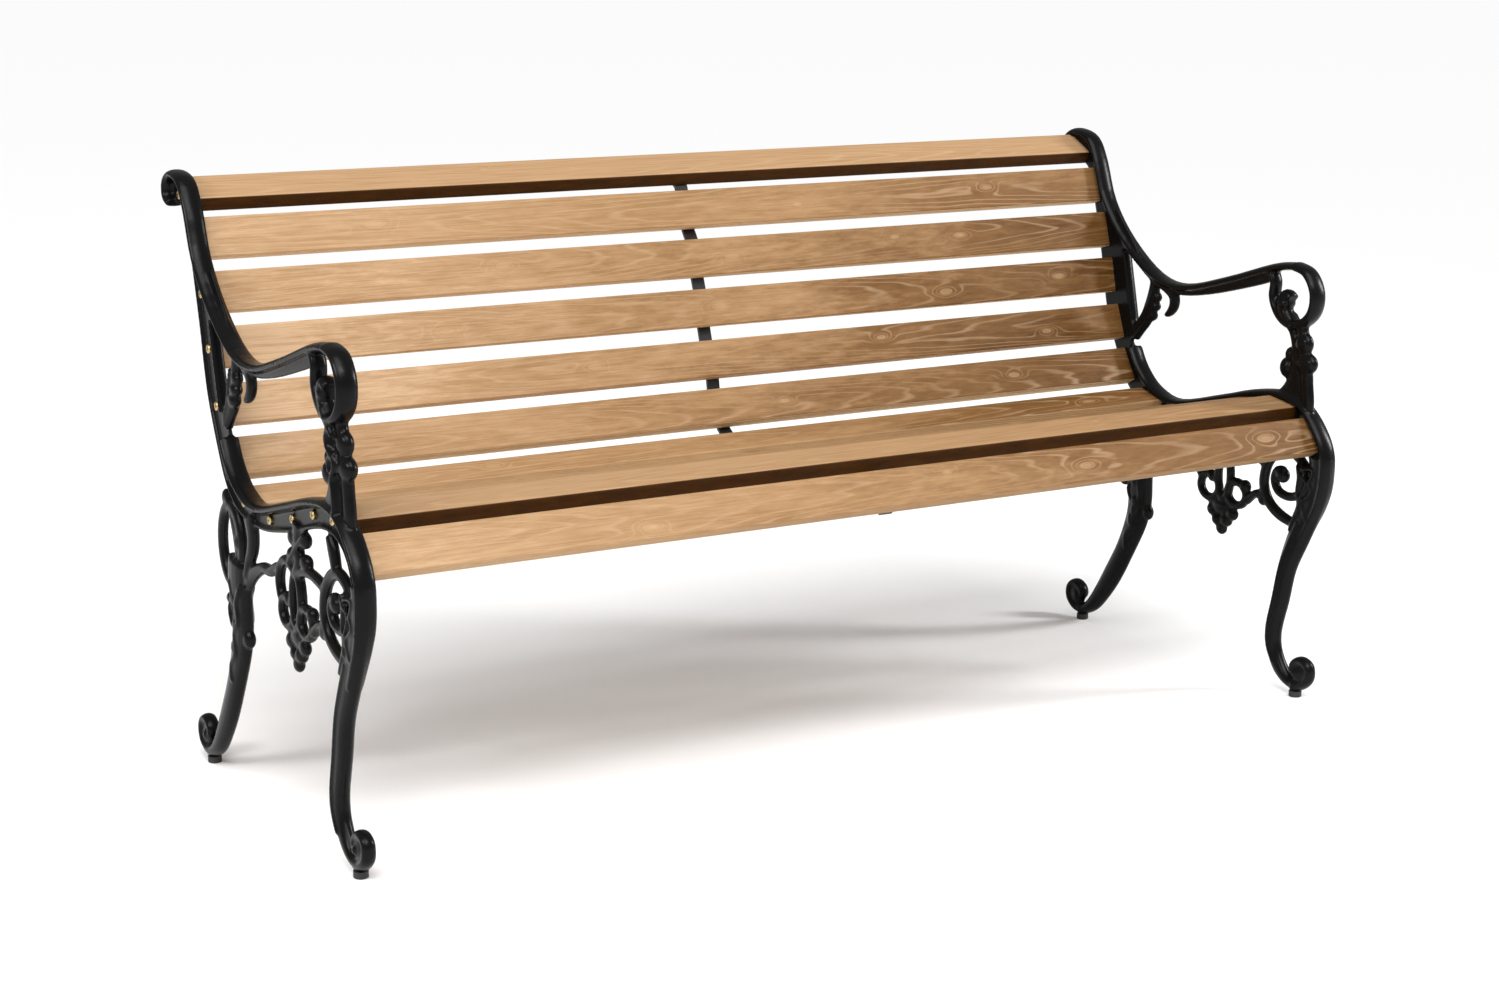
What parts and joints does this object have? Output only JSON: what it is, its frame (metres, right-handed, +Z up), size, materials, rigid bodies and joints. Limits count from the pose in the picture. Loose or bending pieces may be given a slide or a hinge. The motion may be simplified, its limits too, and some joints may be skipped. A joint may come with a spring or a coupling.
{
  "type": "garden bench",
  "caption": "Park-style garden bench with ornate cast end frames, scroll armrests and cabriole legs, slatted timber seat and back, and a steel strap behind the slats.",
  "frame": {"origin": "on the ground, at the middle of the bench's length and depth", "axes": "+X along the bench to the sitter's left as they sit, +Y towards the back, +Z up; the sitter faces -Y"},
  "size_m": [1.542, 0.6513, 0.8122],
  "materials": {
    "casting": "black satin paint over cast metal",
    "timber": "softwood with a warm honey-brown glaze, satin",
    "zinc_screw": "yellow passivated zinc plate, faintly iridescent",
    "strap_steel": "flat bar, black paint",
    "strap_fixing": "black plated screw",
    "foot_plastic": "moulded black glide"
  },
  "bodies": {
    "root": {"end_frame_left": "casting", "end_frame_right": "casting", "back_slat_1": "timber", "back_slat_2": "timber", "back_slat_3": "timber", "back_slat_4": "timber", "back_slat_5": "timber", "back_slat_6": "timber", "seat_slat_1": "timber", "seat_slat_2": "timber", "seat_slat_3": "timber", "seat_slat_4": "timber", "seat_slat_5": "timber", "seat_slat_6": "timber", "slat_screws_left": "zinc_screw", "slat_screws_right": "zinc_screw", "centre_strap": "strap_steel", "strap_screws": "strap_fixing", "front_foot_pad_left": "foot_plastic", "front_foot_pad_right": "foot_plastic", "rear_foot_pad_left": "foot_plastic", "rear_foot_pad_right": "foot_plastic"}
  },
  "joints": []
}
